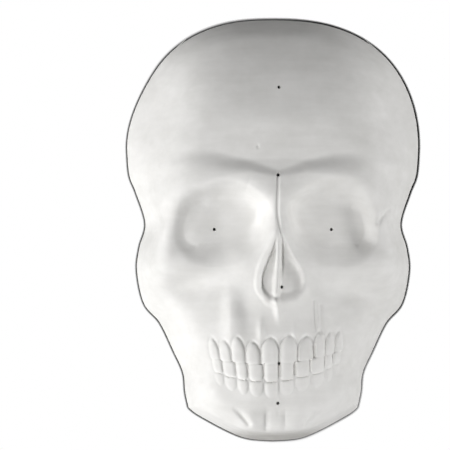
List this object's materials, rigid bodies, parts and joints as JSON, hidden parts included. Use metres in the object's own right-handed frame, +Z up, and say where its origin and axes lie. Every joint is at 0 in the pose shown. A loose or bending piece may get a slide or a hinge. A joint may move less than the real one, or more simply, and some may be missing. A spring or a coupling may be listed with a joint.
{
  "type": "skull drape mould",
  "caption": "One-piece white bisque mould in the shape of a skull's face, hollow and open underneath, for draping sheet glass in a kiln.",
  "frame": {"origin": "centre of the object's box at the flat rim that it lies on", "axes": "+X to the right across the face, +Y from chin to crown, +Z up, out of the face"},
  "size_m": [0.1498, 0.2158, 0.0478],
  "materials": {
    "bisque": "unglazed, matt, with a fine kiln wash"
  },
  "bodies": {
    "root": {"mould_shell": "bisque"}
  },
  "joints": []
}
